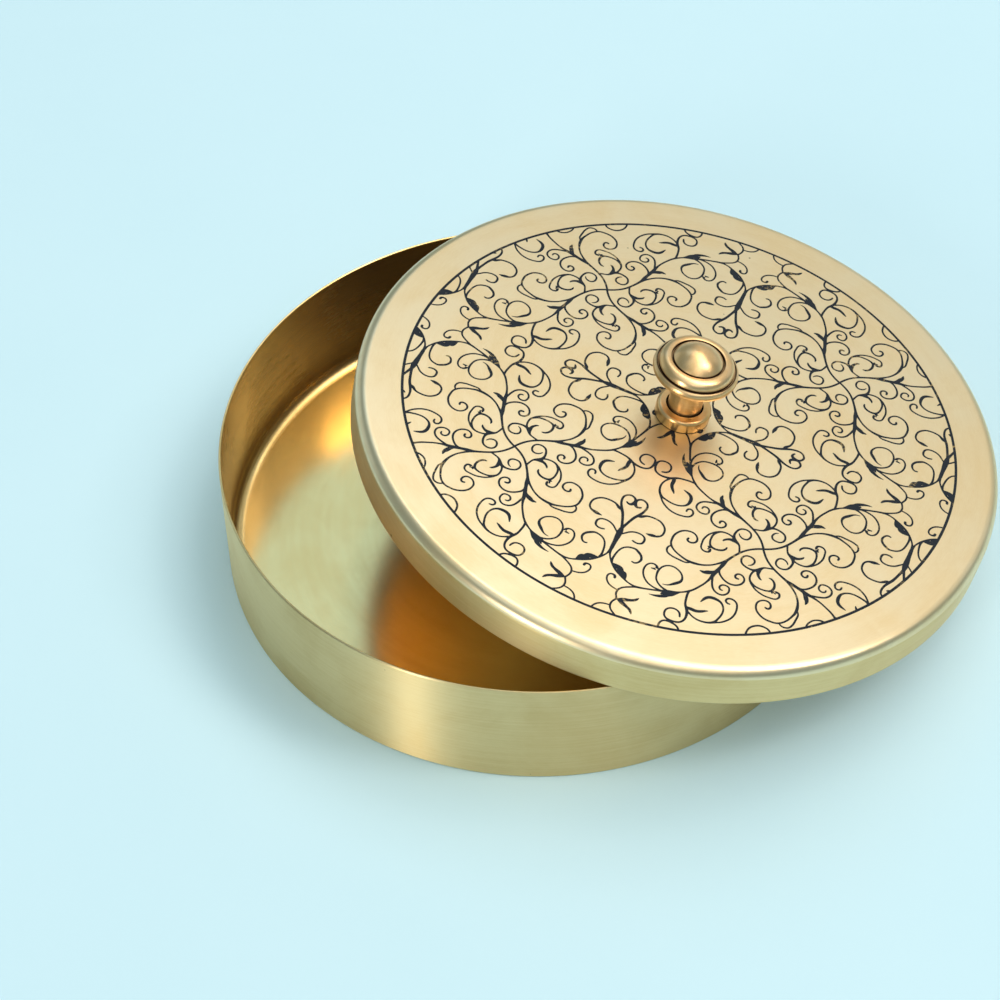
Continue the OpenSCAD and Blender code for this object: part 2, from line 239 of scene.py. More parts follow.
# %% The strokes of one eighth of the pattern
STROKES = {
    "arm": [(0, .05, .75), (1.2, .38, .75), (2.6, .68, .75), (4.5, .88, .72), (6.3, .8, .72),
        (8, .5, .8), (10, -.07, .75), (12, -.75, .85), (13.6, -1.3, 1), (15.2, -1.5, .8),
        (16.9, -1.54, .62), (18.3, -1.5, .62), (19.6, -1.25, .65), (21, -.82, .7),
        (22.3, -.15, .85), (23.4, .6, 1), (24.4, 1.5, 1), (25.15, 2.45, .8), (25.8, 3.7, .68),
        (26.45, 5.1, .65), (26.85, 6.4, .65), (27, 7.6, .65), (26.95, 8.6, .75), (26.5, 9.8, .65),
        (25.8, 10.7, .7), (24.9, 11.65, .72), (23.9, 12.35, .7), (22.7, 12.8, .7), (21.4, 13, .7),
        (20.1, 12.78, .65), (19, 12.2, .65), (18.2, 11.4, .65), (17.85, 10.45, .62),
        (17.85, 9.5, .62), (18.2, 8.6, .65), (18.9, 7.95, .7), (19.9, 7.8, .7), (20.7, 8.15, .72),
        (21.2, 8.85, .72), (21.1, 9.5, .75), (20.6, 9.85, .7)],
    "arm_shadow": [(24.6, 1.1, .5), (25.4, 1.35, .6), (26.3, 2.05, .65), (27.2, 3.1, .65),
        (28.3, 4.36, .65), (28.9, 5.4, .65), (29.25, 6.4, .65), (29.1, 7.3, .65),
        (28.6, 8.05, .65), (28, 8.45, .6), (27.1, 8.6, .6)],
    "stem": [(12.6, -1, .7), (13.9, -1.75, 1), (15.15, -2.46, 1.3), (16.2, -3.1, 1.1),
        (17.2, -3.7, 1.25), (18.5, -4.4, 1.3), (19.5, -5, 1.25), (20.3, -5.6, 1.15),
        (21.3, -6.25, .8), (22.8, -7.05, .65), (24.4, -7.7, .65), (25.7, -8.1, .65),
        (27, -8.5, .7), (28.1, -8.72, .7), (29.6, -8.85, .8), (30.9, -8.75, .65), (32, -8.6, .6),
        (33.4, -8.2, .7), (34.8, -7.6, .9), (36, -7.1, 1.1), (37.5, -6.6, .9), (38.8, -6.05, .7),
        (40.1, -5.45, .68), (41.4, -4.8, .68), (42.7, -4.15, .7), (43.9, -3.45, .85),
        (44.9, -2.6, .75), (45.5, -1.7, .6), (46, -.8, .6), (46.35, .3, .75), (46.75, 1.6, .9),
        (47.1, 3, .9), (47.4, 4.4, .85), (47.45, 5.8, .75), (47.4, 7, .7), (47.2, 8.2, .65),
        (46.95, 9.2, .6), (46.6, 10.2, .6), (46.1, 11.1, .8), (45.3, 12.2, 1.1), (43.9, 13.6, 1.2),
        (42.6, 15, 1.25), (41.2, 16.55, 1.4), (40, 17.75, 1.45), (38.8, 18.7, 1.15),
        (37.8, 19.25, .95), (36.8, 19.75, .85), (35.5, 20.45, .85), (34.3, 21.05, .9),
        (33, 21.6, .95), (31.9, 21.9, 1), (30.7, 22.3, .9), (29.4, 22.85, .78), (28.4, 23.5, .75),
        (27.5, 24.4, .72), (27.1, 25.4, .7), (27.2, 26.4, .72), (27.7, 27.25, .75),
        (28.5, 27.65, .78), (29.5, 27.6, .85), (30.3, 27.05, 1.1), (30.75, 26.2, 1.15),
        (30.8, 25.4, 1), (30.35, 24.85, .8), (29.6, 24.65, .62)],
    "leaf_a": [(17.8, -4, .8), (19, -4.15, 1.1), (20.1, -4, 1.5), (21, -3.7, 1.55),
        (21.7, -3.5, 1.2), (22.2, -3.1, 1), (22.65, -2.6, .5)],
    "curl_a": [(16.9, -3.7, .8), (17.3, -4.5, .75), (17.5, -5.3, .7), (17.52, -6.2, .68),
        (17.4, -7.2, .68), (17.05, -8.35, .7), (16.4, -9.4, .7), (15.5, -10.15, .7),
        (14.4, -10.57, .68), (13.2, -10.6, .68), (12.1, -10.2, .68), (11.3, -9.45, .66),
        (11, -8.5, .66), (11.2, -7.5, .68), (11.9, -6.85, .7), (12.7, -6.85, .7),
        (13.3, -7.3, .72), (13.35, -8, .8), (12.9, -8.5, .7)],
    "curl_b": [(20.2, -5.8, .8), (20.6, -6.55, .75), (21.05, -7.3, .7), (21.55, -8.35, .7),
        (21.9, -9.3, .68), (22, -10.3, .68), (21.8, -11.3, .68), (21.3, -12.15, .66),
        (20.4, -12.8, .66), (19.4, -12.9, .66), (18.25, -12.5, .64), (17.5, -11.7, .64),
        (17.2, -10.8, .62), (17.6, -9.95, .62), (18.4, -9.4, .66), (19.25, -9.42, .66),
        (19.9, -9.95, .66), (20, -10.7, .62), (19.6, -11.2, .5)],
    "ring_curl": [(8, .45, .7), (7.4, 1.6, .65), (6.9, 2.6, .6), (6.65, 3.6, .75),
        (6.9, 4.7, 1.25), (7.05, 5.6, 1.4), (6.75, 6.65, 1.05), (6.2, 7.45, .75), (5.34, 8.2, .72),
        (4.37, 8.75, .72), (3.27, 9, .7), (2.3, 8.74, .68), (1.44, 8.07, .66), (1, 7.1, .64),
        (1.07, 6.2, .64), (1.6, 5.4, .66), (2.5, 4.8, .68), (3.4, 4.75, .68), (4.15, 5.2, .64),
        (4.6, 6, .6), (4.67, 6.85, .5), (4.5, 7.5, .3)],
    "bud": [(7, 4.9, 1.3), (7.7, 5.65, 1.3), (8.5, 6.2, 1), (9.5, 6.42, .82), (10.2, 6.4, .75),
        (10.7, 6.2, .4)],
    "bow": [(6.9, 6.6, .8), (7.3, 7.4, .65), (8, 8.4, .65), (8.9, 9.2, .65), (9.9, 9.65, .75),
        (11.2, 9.65, .9), (12.4, 9.2, .7), (13.5, 8.35, .65), (14.5, 7.25, .65), (15.1, 6.2, .72),
        (15.3, 5.3, .85), (14.9, 4.3, .85), (14.1, 3.5, .8), (13, 2.95, .78), (11.9, 2.85, .75),
        (11, 3.2, .65), (10.7, 3.5, .4)],
    "bow_shadow": [(10.2, 9.8, .5), (11.2, 9.92, .6), (12.4, 9.85, .62), (13.6, 9.66, .62),
        (14.85, 9.15, .62), (16.05, 8.45, .62), (17, 7.56, .6), (17.7, 6.7, .6), (18.3, 5.9, .6),
        (18.5, 5.05, .62), (18.25, 4.2, .66), (17.7, 3.65, .72), (17, 3.4, .76),
        (16.35, 3.75, .85), (16.15, 4.4, .95), (16.5, 4.95, 1.1), (15.9, 5.05, 1.1),
        (15.2, 4.85, .8)],
    "vine": [(29.3, -8.75, .7), (30.1, -9.45, .75), (30.95, -10.4, .72), (31.8, -11.55, .7),
        (32.55, -12.7, .72), (32.95, -13.8, .9), (33.15, -14.9, 1), (33.66, -16.1, .95),
        (34.4, -17.15, .8), (35.2, -17.95, .74), (36.2, -18.5, .72), (37.2, -18.68, .7),
        (38.2, -18.42, .72), (39.15, -17.85, .8), (40.1, -16.95, .8), (40.6, -16, .68),
        (40.55, -14.95, .66), (40, -14, .66), (39.15, -13.3, .66), (38.15, -13.1, .66),
        (37.1, -13.4, .66), (36.3, -14.1, .64), (35.88, -15.07, .66), (36, -16.05, .7),
        (36.4, -16.85, .6)],
    "leaf_b": [(33, -14.2, 1), (32.3, -14.75, 1.25), (31.6, -15.4, 1.25), (30.9, -16.1, 1.15),
        (29.9, -16.6, 1.05), (28.9, -16.85, .95), (28.1, -16.95, .75), (27.4, -17.15, .4)],
    "moon": [(33.2, -16, .8), (32.95, -17, .62), (32.5, -18.2, .62), (31.6, -19.5, .66),
        (30.4, -20.5, .7), (29.1, -21.15, .8), (27.8, -21.4, .9), (26.7, -21.2, .8),
        (25.7, -20.65, .68), (24.6, -20, .66), (23.65, -19.25, .64), (22.8, -18.3, .64),
        (22.2, -17.1, .64), (22, -15.95, .7), (22.2, -14.85, .85), (22.9, -13.8, 1.1),
        (24, -12.85, 1.15), (25.1, -12.5, 1.1), (26.3, -12.7, .95), (27.1, -13.05, .7),
        (27.8, -13.4, .4)],
    "moon_shadow": [(28, -21.6, .5), (26.9, -21.75, .6), (25.8, -21.95, .64), (24.5, -22.02, .64),
        (23.2, -21.85, .64), (21.9, -21.5, .64), (20.65, -20.85, .64), (19.6, -20.05, .64),
        (18.7, -19, .64), (17.98, -17.9, .64), (17.6, -16.7, .66), (17.8, -15.7, .7),
        (18.5, -14.85, .7), (19.5, -14.55, .7), (20.25, -15, .7), (20.35, -15.8, .7),
        (19.8, -16.5, .6)],
    "leaf_c": [(32.4, -8.65, .4), (33.3, -8.6, .8), (34.3, -8.55, 1.35), (35.3, -8.6, 1.5),
        (36.2, -8.5, 1.3), (37.1, -8.55, 1.45), (38.3, -8.4, 1.2), (39.5, -8, .95),
        (40.6, -7.4, .65), (41.6, -6.65, .25)],
    "leaf_c_body": [(34.2, -8.3, .6), (35.4, -7.7, 1.4), (36.6, -7.4, 1.3), (38, -7.5, .6)],
    "hoop": [(35.9, -7, .9), (36.6, -5.8, .7), (37.05, -4.6, .64), (37.2, -3.3, .62),
        (37.05, -2.1, .62), (36.6, -1.15, .62), (36, -.3, .66), (35.2, .6, .75), (34.2, 1.3, .66),
        (33, 1.75, .62), (31.8, 1.8, .6), (30.6, 1.4, .6), (29.7, .6, .6), (29.05, -.7, .6),
        (28.8, -2, .6), (29, -3.2, .62), (29.6, -4.3, .75), (30.6, -4.95, .95), (31.9, -5.1, 1.1),
        (33.1, -5.15, .95), (34.2, -5.15, .6), (35.2, -4.85, .45), (36, -4.3, .25)],
    "hook": [(36.9, -7, .8), (38, -6.1, .75), (38.8, -5.25, .64), (39.5, -4.25, .62),
        (40.05, -3.1, .62), (40.3, -1.95, .62), (40.3, -.7, .62), (40.05, .6, .62),
        (39.5, 1.8, .62), (38.7, 2.8, .62), (37.8, 3.5, .62), (36.9, 3.85, .62), (36, 3.85, .6),
        (35.2, 3.4, .62), (34.8, 2.6, .75), (34.95, 1.8, 1), (35.4, 1.45, .95), (36, 1.75, .7),
        (36.6, 2.15, .45)],
    "sprig": [(43.6, -3.6, .7), (44.6, -3.2, .7), (45.8, -2.85, .62), (47.1, -2.55, .62),
        (48.5, -2.4, .62), (49.7, -2.7, .66), (50.6, -3.35, .66), (51.25, -4.3, .62),
        (51.6, -5.3, .66), (51.75, -5.72, .7)],
    "sprig_leaf": [(51.6, -5.9, .7), (50.9, -6.3, 1.2), (49.9, -6.65, 1.5), (48.9, -7.05, 1.2),
        (47.9, -7.45, .95), (46.9, -7.7, 1), (46, -7.65, .85), (45.3, -7.45, .35)],
    "sprig_hook": [(50.1, -2.8, .55), (50.9, -1.75, .58), (51.45, -.6, .6), (51.65, .7, .6),
        (51.35, 2, .6), (50.65, 3, .6), (49.7, 3.4, .62), (48.9, 3, .7), (48.6, 2.2, .9),
        (48.9, 1.7, .9)],
    "leaf_d": [(46.3, .2, .6), (45.9, 1.3, 1.4), (45.75, 2.3, 1.95), (46.05, 3.2, 1.7),
        (45.95, 4.2, 2), (46.3, 5.3, 1.7), (46.85, 6.3, 1), (47.3, 7, .4)],
    "cee": [(32.2, 21.75, .6), (31.2, 21.35, 1.1), (30.2, 21.25, .95), (29.3, 21.1, .7),
        (28.4, 20.6, .68), (27.5, 19.85, .66), (26.7, 18.95, .66), (26.1, 17.85, .68),
        (25.9, 16.7, .7), (25.98, 15.5, .7), (26.4, 14.45, .68), (27.1, 13.6, .68),
        (28, 12.95, .66), (29, 12.75, .68), (30, 13, .85), (30.8, 13.55, 1.3), (31.6, 14.05, 1.1),
        (32.4, 14.75, .4)],
    "crook": [(40.6, 16.6, .6), (39.6, 16.65, .58), (38.6, 16.65, .6), (37.5, 16.7, .62),
        (36.3, 16.5, .62), (35.15, 15.95, .62), (34.25, 15.1, .62), (33.7, 14, .64),
        (33.8, 13, .7), (34.45, 12.15, .76), (35.4, 11.6, .72), (36.3, 11.75, .66),
        (37.15, 12.4, .64), (37.65, 13.3, .6)],
    "bow_d": [(47.3, 7.2, .7), (46.9, 8, .75), (46.2, 8.8, .7), (45.4, 9.5, .66),
        (44.5, 10.2, .64), (43.5, 10.85, .62), (42.4, 11.35, .62), (41.3, 11.55, .6),
        (40.2, 11.4, .62), (39, 10.8, .66), (38.15, 10, .75), (37.85, 9, .95), (37.65, 7.9, .85),
        (37.8, 6.75, .8), (38.3, 5.85, .78), (39.15, 5.3, .7), (40.2, 5.1, .66), (40.95, 5.4, .64),
        (41.3, 5.95, .55)],
}
CROSSING = 57.47                          # from the middle of the lid to the nearest crossing
PATTERN_TURN = math.radians(20.6)         # how the pattern is turned on the lid
print(len(STROKES), "strokes, with", sum(len(s) for s in STROKES.values()), "points")

# %% [markdown]
# A traced stroke becomes a smooth band. A natural cubic spline runs through its
# points, and new points are taken along it so that each step turns by about the
# same angle: many in the tight curls, few on the long stems. The band is a row of
# quads, half the width to either side, with a round cap at both ends.

# %% From traced points to bands
TURN_STEP = math.radians(16)              # largest turn between two neighbouring points
LONG_STEP = 1.5                           # largest distance between them
SAMPLES_PER_MM = 12                       # of the fine line that the steps are measured on
CURL_SHARE = 0.85                         # of a curl's radius: no inner edge reaches further
NO_CURL = 1e-6                            # stands for a straight line, so nothing is divided by 0


def spline(knots, values, places):
    """Natural cubic spline: its second derivatives solve one small linear system."""
    gap = np.diff(knots)
    slope = np.diff(values, axis=0) / gap[:, None]
    system = np.eye(len(knots))
    for i in range(1, len(knots) - 1):
        system[i, i - 1:i + 2] = gap[i - 1], 2 * (gap[i - 1] + gap[i]), gap[i]
    bend = np.zeros_like(values)
    bend[1:-1] = 6 * np.diff(slope, axis=0)
    bend = np.linalg.solve(system, bend)
    i = np.clip(np.searchsorted(knots, places, side="right") - 1, 0, len(gap) - 1)
    h, t = gap[i][:, None], (places - knots[i])[:, None]
    return (values[i] + t * (slope[i] - h * (2 * bend[i] + bend[i + 1]) / 6)
            + t ** 2 * bend[i] / 2 + t ** 3 * (bend[i + 1] - bend[i]) / (6 * h))


CAP_POINTS = 4                            # points of a cap between the two edges


def cap(middle, normal, from_side, to_side, end):
    """Half a circle round one end of a band, from one edge over to the other."""
    angles = np.linspace(0, math.pi, CAP_POINTS + 2)[1:-1, None]
    outwards = end * np.array([normal[1], -normal[0]])
    reach = from_side + (to_side - from_side) * angles / math.pi
    return middle + reach * (-end * np.cos(angles) * normal + np.sin(angles) * outwards)


def band(stroke):
    """Both edges of a stroke, and its round caps, at evenly turning steps. On the inner
    side of a tight curl an edge stays short of the centre that the curl turns about."""
    traced = np.array(stroke, float)
    knots = np.append(0, np.cumsum(np.hypot(*np.diff(traced[:, :2], axis=0).T)))
    fine = np.linspace(0, knots[-1], int(knots[-1] * SAMPLES_PER_MM) + 8)
    line = spline(knots, traced[:, :2], fine)
    steps = np.diff(line, axis=0)
    heading = np.unwrap(np.arctan2(steps[:, 1], steps[:, 0]))
    cost = np.hypot(*steps.T) / LONG_STEP
    cost[1:] += np.abs(np.diff(heading)) / TURN_STEP
    spent = np.append(0, np.cumsum(cost))
    places = np.interp(np.linspace(0, spent[-1], math.ceil(spent[-1]) + 1), spent, fine)
    middle = spline(knots, traced[:, :2], places)
    way = np.gradient(middle, axis=0)
    way /= np.hypot(*way.T)[:, None]
    normal = np.stack([-way[:, 1], way[:, 0]], 1)
    half = np.interp(places, knots, traced[:, 2]) / 2
    curl = np.gradient(np.unwrap(np.arctan2(way[:, 1], way[:, 0])), places)
    left = np.minimum(half, CURL_SHARE / np.maximum(curl, NO_CURL))
    right = np.minimum(half, CURL_SHARE / np.maximum(-curl, NO_CURL))
    return np.concatenate([middle - normal * right[:, None],
                           cap(middle[-1], normal[-1], right[-1], left[-1], 1),
                           (middle + normal * left[:, None])[::-1],
                           cap(middle[0], normal[0], left[0], right[0], -1)])


BANDS = {name: band(stroke) for name, stroke in STROKES.items()}
print("points round the bands:", sum(len(b) for b in BANDS.values()))

# %% [markdown]
# Every band is copied over the lid: as it is and mirrored, turned by each quarter
# about the crossing, and moved by whole repeats. A copy beyond the ring line or
# under the collar is left out. The ring line, a plain circular groove, frames them.

# %% Copies of the bands over the lid
RING_W = 0.9                              # width of the ring line
RING_R = RING_OUT_R - RING_W / 2
FACE_IN_R = COLLAR_R - 2.5                # the engraved face starts under the collar
FACE_OUT_R = RING_R + 2.2                 # and ends just outside the ring line
RING_LAP = 0.2                            # a band runs this far into the ring line


def placed(points, mirrored, quarter, across, along):
    """One copy of points of the pattern, on the level lid."""
    x, y = points.T
    if mirrored:
        x, y = CROSSING - y, CROSSING - x
    for _ in range(quarter):
        x, y = -y, x
    x = x - CROSSING + 2 * CROSSING * across
    y = y + 2 * CROSSING * along
    c, s = math.cos(PATTERN_TURN), math.sin(PATTERN_TURN)
    return np.stack([x * c - y * s, x * s + y * c], 1)


def all_copies():
    """The ways in which the pattern repeats near the lid."""
    for mirrored in (False, True):
        for quarter in range(4):
            for across in (-1, 0, 1, 2):
                for along in (-1, 0, 1):
                    yield mirrored, quarter, across, along


def band_faces(count):
    """Quads across a band whose outline has count points, and a fan for each cap."""
    n = count // 2 - CAP_POINTS
    quads = [[i, i + 1, count - CAP_POINTS - 2 - i, count - CAP_POINTS - 1 - i]
             for i in range(n - 1)]
    far_cap = list(range(n - 1, n + CAP_POINTS + 1))
    near_cap = list(range(count - CAP_POINTS - 1, count)) + [0]
    return quads + [far_cap, near_cap]


def turns_left(face):
    """True for a convex face whose corners all turn left."""
    side = np.roll(face, -1, axis=0) - face
    following = np.roll(side, -1, axis=0)
    return bool((side[:, 0] * following[:, 1] - side[:, 1] * following[:, 0] > 1e-9).all())


# %% Placing them
cut_points, cut_faces = [], []
point_count = crooked = 0
for outline in BANDS.values():
    faces = band_faces(len(outline))
    straight = [face for face in faces if turns_left(outline[face])]
    crooked += len(faces) - len(straight)
    for way in all_copies():
        copy = placed(outline, *way)
        reach = np.hypot(*copy.T)
        if reach.min() > RING_R or reach.max() < FACE_IN_R:
            continue
        for face in straight:
            if reach[face].min() > FACE_IN_R and reach[face].min() < RING_R + RING_LAP:
                corners = face[::-1] if way[0] else face
                cut_faces.append([point_count + k for k in corners])
        cut_points.append(copy)
        point_count += len(copy)
cut_points = np.concatenate(cut_points)
print(len(cut_points), "outline points,", len(cut_faces), "band faces,", crooked, "left out")

# %% [markdown]
# The engraved face is one flat sheet of triangles in which every band is cut out
# exactly. A constrained Delaunay triangulation does this: it takes all outlines,
# splits them where they cross, and tells for each triangle which outlines it lies
# in. Triangles in a band or in the ring line are cut, the others are ground.

# %% Triangulating the engraved face
SAME_POINT = 1e-5                         # corners closer than this, in millimetres, are one
WHOLE, WITH_ORIGINS = 0, True             # all triangles, each with the outlines it lies in


def circle(radius):
    """Points of a circle on the spokes of the lathe."""
    angles = np.linspace(0, 2 * math.pi, TURNS, endpoint=False)
    return radius * np.stack([np.cos(angles), np.sin(angles)], 1)


circles = [circle(r) for r in (FACE_IN_R, RING_R - RING_W / 2, RING_R + RING_W / 2, FACE_OUT_R)]
loops = np.arange(len(circles) * TURNS).reshape(len(circles), TURNS)
circle_edges = np.stack([loops, np.roll(loops, -1, axis=1)], -1).reshape(-1, 2)
first = len(circles) * TURNS
used = np.unique(np.concatenate([np.array(f) for f in cut_faces]))
renumber = np.full(len(cut_points), -1)
renumber[used] = np.arange(len(used)) + first
all_points = np.concatenate(circles + [cut_points[used]])
faces_in = [[int(renumber[k]) for k in face] for face in cut_faces]
found = delaunay_2d_cdt([Vector(p) for p in all_points], circle_edges.tolist(), faces_in,
                        WHOLE, SAME_POINT, WITH_ORIGINS)
face_points = np.array([tuple(p) for p in found[0]])
face_triangles = np.array(found[2])
in_band = np.array([len(origin) > 0 for origin in found[5]])
centres = face_points[face_triangles].mean(1)
centre_r = np.hypot(*centres.T)
in_face = (centre_r > FACE_IN_R * math.cos(math.pi / TURNS) - 1e-4) & (centre_r < FACE_OUT_R)
in_ring = np.abs(centre_r - RING_R) < RING_W / 2
is_cut = in_ring | (in_band & (centre_r < RING_R))
triangles = face_triangles[in_face]
is_cut = is_cut[in_face]
print(f"{len(triangles)} triangles, {is_cut.sum()} of them cut")

# %% [markdown]
# The ground triangles stay at the lid's face and the cut ones sink to the floor of
# the engraving. Between them stands a small wall under each edge that a ground and
# a cut triangle share. The fill is a thin slab with the same outline, a little lower
# than the face, as black wax is after the face has been rubbed clean.

# %% Engraving and its fill
CUT_DEEP = 0.30                           # depth of the engraving
FILL_LOW = 0.05                           # the fill lies this far below the face


def at_height(flat, height):
    """Flat points lifted to one height."""
    return np.column_stack([flat, np.full(len(flat), height)])


def outline_edges(triangles):
    """Edges that only one of these triangles has, in the order that it runs them."""
    edges = np.concatenate([triangles[:, [0, 1]], triangles[:, [1, 2]], triangles[:, [2, 0]]])
    key = np.sort(edges, axis=1)
    _, place, count = np.unique(key, axis=0, return_inverse=True, return_counts=True)
    return edges[count[place.ravel()] == 1]


ground, cut = triangles[~is_cut], triangles[is_cut]
cut_rim = outline_edges(cut)
n = len(face_points)
walls = np.stack([cut_rim[:, 0], cut_rim[:, 1], cut_rim[:, 1] + n, cut_rim[:, 0] + n], 1)
plate_points = np.concatenate([at_height(face_points, 0), at_height(face_points, -CUT_DEEP)])
plate_triangles = np.concatenate([ground, cut + n])
fill_points, fill_faces = merged(
    np.concatenate([at_height(face_points, -FILL_LOW), at_height(face_points, -CUT_DEEP)]),
    np.concatenate([cut, cut[:, ::-1] + n]), walls[:, ::-1])
fill = piece("scroll_fill", askew(fill_points), fill_faces, "lid", "ring_fill")
print(len(plate_triangles), "triangles in the plate, in the", len(walls), "walls two each")

# %% [markdown]
# The lid round the engraved plate is turned: a soft outer edge, a straight skirt
# with a round lower edge, the inside, and the hole for the screw. Its loop ends on
# the two circles where the plate starts, and the plate's mesh closes it.

# %% Lid shell
PLATE_T, SKIRT_T = 1.0, 1.0
EDGE_R = 3.4                              # outside radius of the turned edge
HOLE_R = 2.2

lid_profile = join(
    (FACE_IN_R, 0), (HOLE_R, 0), (HOLE_R, -PLATE_T),
    arc(LID_R - EDGE_R, -EDGE_R, EDGE_R - SKIRT_T, 90, 0, 10),
    arc(LID_R - SKIRT_T / 2, -LID_H + SKIRT_T / 2, SKIRT_T / 2, 180, 360, 10),
    arc(LID_R - EDGE_R, -EDGE_R, EDGE_R, 0, 90, 16),
    (FACE_OUT_R, 0))
shell_points, shell_quads = turned(lid_profile, TURNS)
# The triangulation gives back single precision, and the seam closes only if both agree.
shell_points = shell_points.astype(np.float32)
n = len(plate_points)
lid_mesh_points, lid_mesh_faces = merged(np.concatenate([plate_points, shell_points]),
                                         plate_triangles, walls, shell_quads + n)
lid = piece("lid_engraved", askew(lid_mesh_points), lid_mesh_faces, "lid",
            "lid_shell")

# %% [markdown]
# ## The box
#
# The box is one spun cup. Its wall is straight, the rim is a full round, the outer
# edge at the base is crisp, and inside the wall runs into the floor in a hollow
# corner. The floor is drawn to the axis, where the spokes meet in one point.

# %% Box body
WALL_T, FLOOR_T = 0.9, 1.1
COVE_R = 4.2
BASE_EDGE_R = 0.8
POLE = 0.4                                # a small ring round the axis keeps the middle flat

box_profile = join(
    (0, 0), (POLE, 0),
    arc(BOX_R - BASE_EDGE_R, BASE_EDGE_R, BASE_EDGE_R, -90, 0, 8),
    arc(BOX_R - WALL_T / 2, BOX_H - WALL_T / 2, WALL_T / 2, 0, 180, 12),
    arc(BOX_R - WALL_T - COVE_R, FLOOR_T + COVE_R, COVE_R, 0, -90, 16),
    (POLE, FLOOR_T), (0, FLOOR_T))
box = spun("box_spun", box_profile, TURNS, "box", "box_body")

# %% [markdown]
# ## Knob and collar
#
# Both are turned from rod. The head of the knob is a rounded lip, a fat bead and a
# dome, with two narrow grooves between them that hold black from the finishing. The
# neck stands in the seat of the collar with an open groove round its foot.

# %% Knob
SEAT_Z, SEAT_R = 2.8, 6.0
NECK_R, NECK_TOP = 5.4, 13.2
UNDER_R = 5.0
LIP_R, HEAD_Z = 1.75, 19.8
LIP_C = HEAD_R - LIP_R
BEAD_R = 2.7
BEAD_C, BEAD_Z = LIP_C - BEAD_R + 0.25, HEAD_Z + LIP_R - 0.15
DOME_R, DOME_BASE = 7.85, 23.83
GROOVE_W, GROOVE_DEEP = 0.5, 0.9
LIP_GROOVE_W, LIP_GROOVE_DEEP = 0.4, 0.6
LIP_GROOVE_IN = BEAD_C + BEAD_R - 0.05
LIP_GROOVE_OUT = LIP_GROOVE_IN + LIP_GROOVE_W
SCREW_R, BORE_R, BORE_TOP = 2.0, 2.05, 11.3

dome_rise = KNOB_TOP - DOME_BASE
DOME_BALL_R = (DOME_R ** 2 + dome_rise ** 2) / (2 * dome_rise)
dome_c = KNOB_TOP - DOME_BALL_R
dome_from = math.degrees(math.atan2(DOME_BASE - dome_c, DOME_R))
lip_from = math.degrees(math.atan2(NECK_TOP + UNDER_R - HEAD_Z,
                                   -math.sqrt(LIP_R ** 2 - (NECK_TOP + UNDER_R - HEAD_Z) ** 2)))
lip_to = math.degrees(math.acos((LIP_GROOVE_OUT - LIP_C) / LIP_R))
bead_from = math.degrees(math.acos((LIP_GROOVE_IN - BEAD_C) / BEAD_R))
bead_to = math.degrees(math.acos((DOME_R + GROOVE_W - BEAD_C) / BEAD_R))

knob_profile = join(
    (0, BORE_TOP), (BORE_R, BORE_TOP), (BORE_R, SEAT_Z), (NECK_R, SEAT_Z),
    arc(NECK_R + UNDER_R, NECK_TOP, UNDER_R, 180, 90, 14),
    arc(LIP_C, HEAD_Z, LIP_R, lip_from, lip_to, 24),
    (LIP_GROOVE_OUT, BEAD_Z - LIP_GROOVE_DEEP), (LIP_GROOVE_IN, BEAD_Z - LIP_GROOVE_DEEP),
    arc(BEAD_C, BEAD_Z, BEAD_R, bead_from, bead_to, 22),
    (DOME_R + GROOVE_W, DOME_BASE - GROOVE_DEEP), (DOME_R, DOME_BASE - GROOVE_DEEP),
    arc(0, dome_c, DOME_BALL_R, dome_from, 89, 20), (0, KNOB_TOP))
knob = spun("knob_turned", knob_profile, SMALL_TURNS, "lid", "knob")

# %% Collar
COLLAR_EDGE_R = 1.2
collar_profile = join(
    (HOLE_R, 0), (COLLAR_R, 0),
    arc(COLLAR_R - COLLAR_EDGE_R, COLLAR_H - COLLAR_EDGE_R, COLLAR_EDGE_R, 0, 90, 10),
    (SEAT_R, COLLAR_H), (SEAT_R, SEAT_Z), (HOLE_R, SEAT_Z), closed=True)
collar = spun("collar_turned", collar_profile, SMALL_TURNS, "lid",
              "knob_collar", closed=True)

# %% [markdown]
# A slotted screw comes from below through a washer, the plate and the collar into
# the knob. Both are turned as well. The slot is not round, so it can't come from the
# lathe: a bar is taken away from the head with a Boolean, as a saw would do it.

# %% Washer and screw
WASHER_R, WASHER_T, WASHER_EDGE_R = 6.0, 1.0, 0.25
SCREW_HEAD_R, SCREW_HEAD_H, SCREW_EDGE_R = 4.0, 2.4, 0.7
SLOT_W, SLOT_DEEP = 1.0, 1.1
SHANK_TOP, SHANK_TIP = 10.3, 0.5

washer_top, washer_low = -PLATE_T, -PLATE_T - WASHER_T
head_low = washer_low - SCREW_HEAD_H
washer_profile = join(
    (HOLE_R, washer_top), (HOLE_R, washer_low),
    arc(WASHER_R - WASHER_EDGE_R, washer_low + WASHER_EDGE_R, WASHER_EDGE_R, -90, 0, 6),
    arc(WASHER_R - WASHER_EDGE_R, washer_top - WASHER_EDGE_R, WASHER_EDGE_R, 0, 90, 6), closed=True)
washer = spun("washer_turned", washer_profile, SMALLEST_TURNS, "lid",
              "knob_washer", closed=True)

screw_profile = join(
    (0, head_low), (POLE, head_low),
    arc(SCREW_HEAD_R - SCREW_EDGE_R, head_low + SCREW_EDGE_R, SCREW_EDGE_R, -90, 0, 10),
    (SCREW_HEAD_R, washer_low), (SCREW_R, washer_low), (SCREW_R, SHANK_TOP - SHANK_TIP),
    (SCREW_R - SHANK_TIP, SHANK_TOP), (0, SHANK_TOP))
screw = spun("screw_slotted", screw_profile, SMALLEST_TURNS, "lid",
             "knob_screw")


